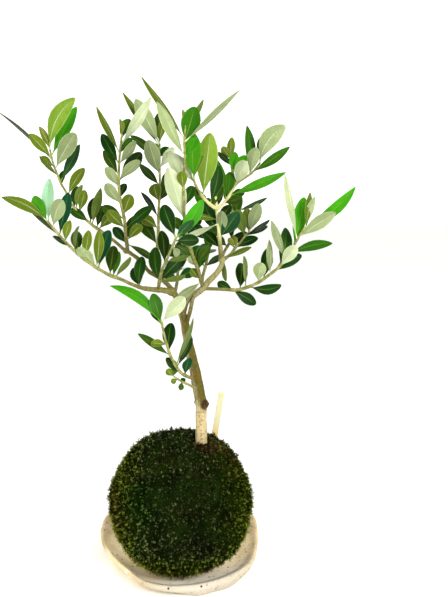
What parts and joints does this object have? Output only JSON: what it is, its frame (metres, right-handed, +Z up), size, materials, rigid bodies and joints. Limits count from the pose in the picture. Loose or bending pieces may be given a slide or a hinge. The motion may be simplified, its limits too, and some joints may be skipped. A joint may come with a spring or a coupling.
{
  "type": "kokedama moss ball plant",
  "caption": "Small olive tree growing from a moss-wrapped ball of soil that rests in a shallow hand-formed clay dish, with a plain wooden plant label.",
  "frame": {"origin": "centre of the dish's flat foot, on the surface that the plant stands on", "axes": "+Z up along the tree, -Y towards the viewer of the front, +X to the viewer's right"},
  "size_m": [0.2871, 0.166, 0.4035],
  "materials": {
    "clay": "unglazed, matte, speckled",
    "moss": "matte, fuzzy",
    "soil": "matte, crumbly",
    "bark": "matte bark",
    "leaf": "satin above, matte and silvery below",
    "label_wood": "plain planed wood"
  },
  "bodies": {
    "root": {"dish": "clay", "moss_cover": "moss", "soil_ball": "soil", "trunk": "bark", "label_stake": "label_wood", "shoot_back_centre": "leaf", "shoot_back_left": "leaf", "shoot_back_right": "leaf", "shoot_centre": "leaf", "shoot_front": "leaf", "shoot_leader": "leaf", "shoot_left_centre": "leaf", "shoot_left_inner": "leaf", "shoot_lower_left": "leaf", "shoot_right": "leaf", "shoot_right_inner": "leaf", "shoot_trunk": "leaf", "shoot_upper_left": "leaf", "twig_trunk": "leaf"}
  },
  "joints": []
}
